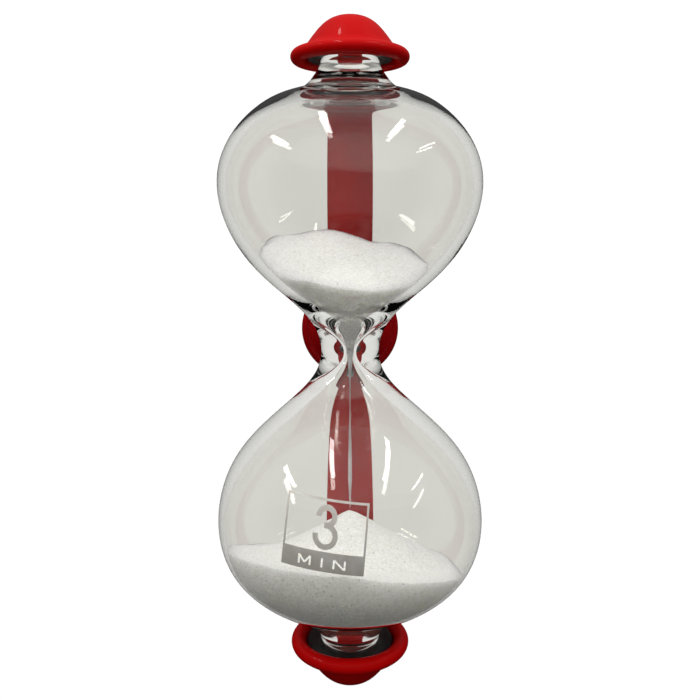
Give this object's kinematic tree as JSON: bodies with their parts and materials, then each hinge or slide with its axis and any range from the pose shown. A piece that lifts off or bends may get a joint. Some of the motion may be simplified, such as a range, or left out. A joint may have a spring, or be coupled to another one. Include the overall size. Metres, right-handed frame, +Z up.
{
  "type": "hourglass",
  "caption": "Wall-hung sand egg timer: blown glass bulbs between red domed caps on a C-shaped strip that turns end over end on a wall rosette.",
  "frame": {"origin": "on the pivot axis, at the wall face the timer is fixed to", "axes": "+Z up along the glass, +Y into the wall, so the front looks along -Y; +X to the viewer's right"},
  "size_m": [0.0666, 0.0816, 0.1696],
  "materials": {
    "wall_steel": "zinc plated, satin",
    "red_hat": "glossy red enamel",
    "fibre": "dull vulcanised fibre",
    "screw_steel": "bright steel",
    "red_strip": "red lacquer, satin",
    "black_rubber": "matt black",
    "clear_glass": "clear blown glass",
    "white_sand": "fine white sand",
    "silver_print": "bright silver print"
  },
  "bodies": {
    "wall_mount": {"wall_plate": "wall_steel", "wall_rosette": "red_hat", "friction_washer": "fibre", "spring_washer": "screw_steel", "pivot_screw": "screw_steel"},
    "bracket": {"bracket_strip": "red_strip", "top_cap": "red_hat", "bottom_cap": "red_hat", "top_seat": "black_rubber", "bottom_seat": "black_rubber", "top_cap_screw": "screw_steel", "bottom_cap_screw": "screw_steel"},
    "glass": {"glass_vessel": "clear_glass", "sand_upper": "white_sand", "sand_stream": "white_sand", "sand_lower": "white_sand", "duration_frame": "silver_print", "duration_numeral": "silver_print"}
  },
  "joints": [
    {"name": "frame_flip", "type": "hinge", "parent": "wall_mount", "child": "bracket", "pos_m": [0, 0, 0], "axis": [0, 1, 0], "continuous": true},
    {"name": "glass_spin", "type": "hinge", "parent": "bracket", "child": "glass", "pos_m": [0, -0.0482, 0], "axis": [0, 0, 1], "continuous": true}
  ]
}
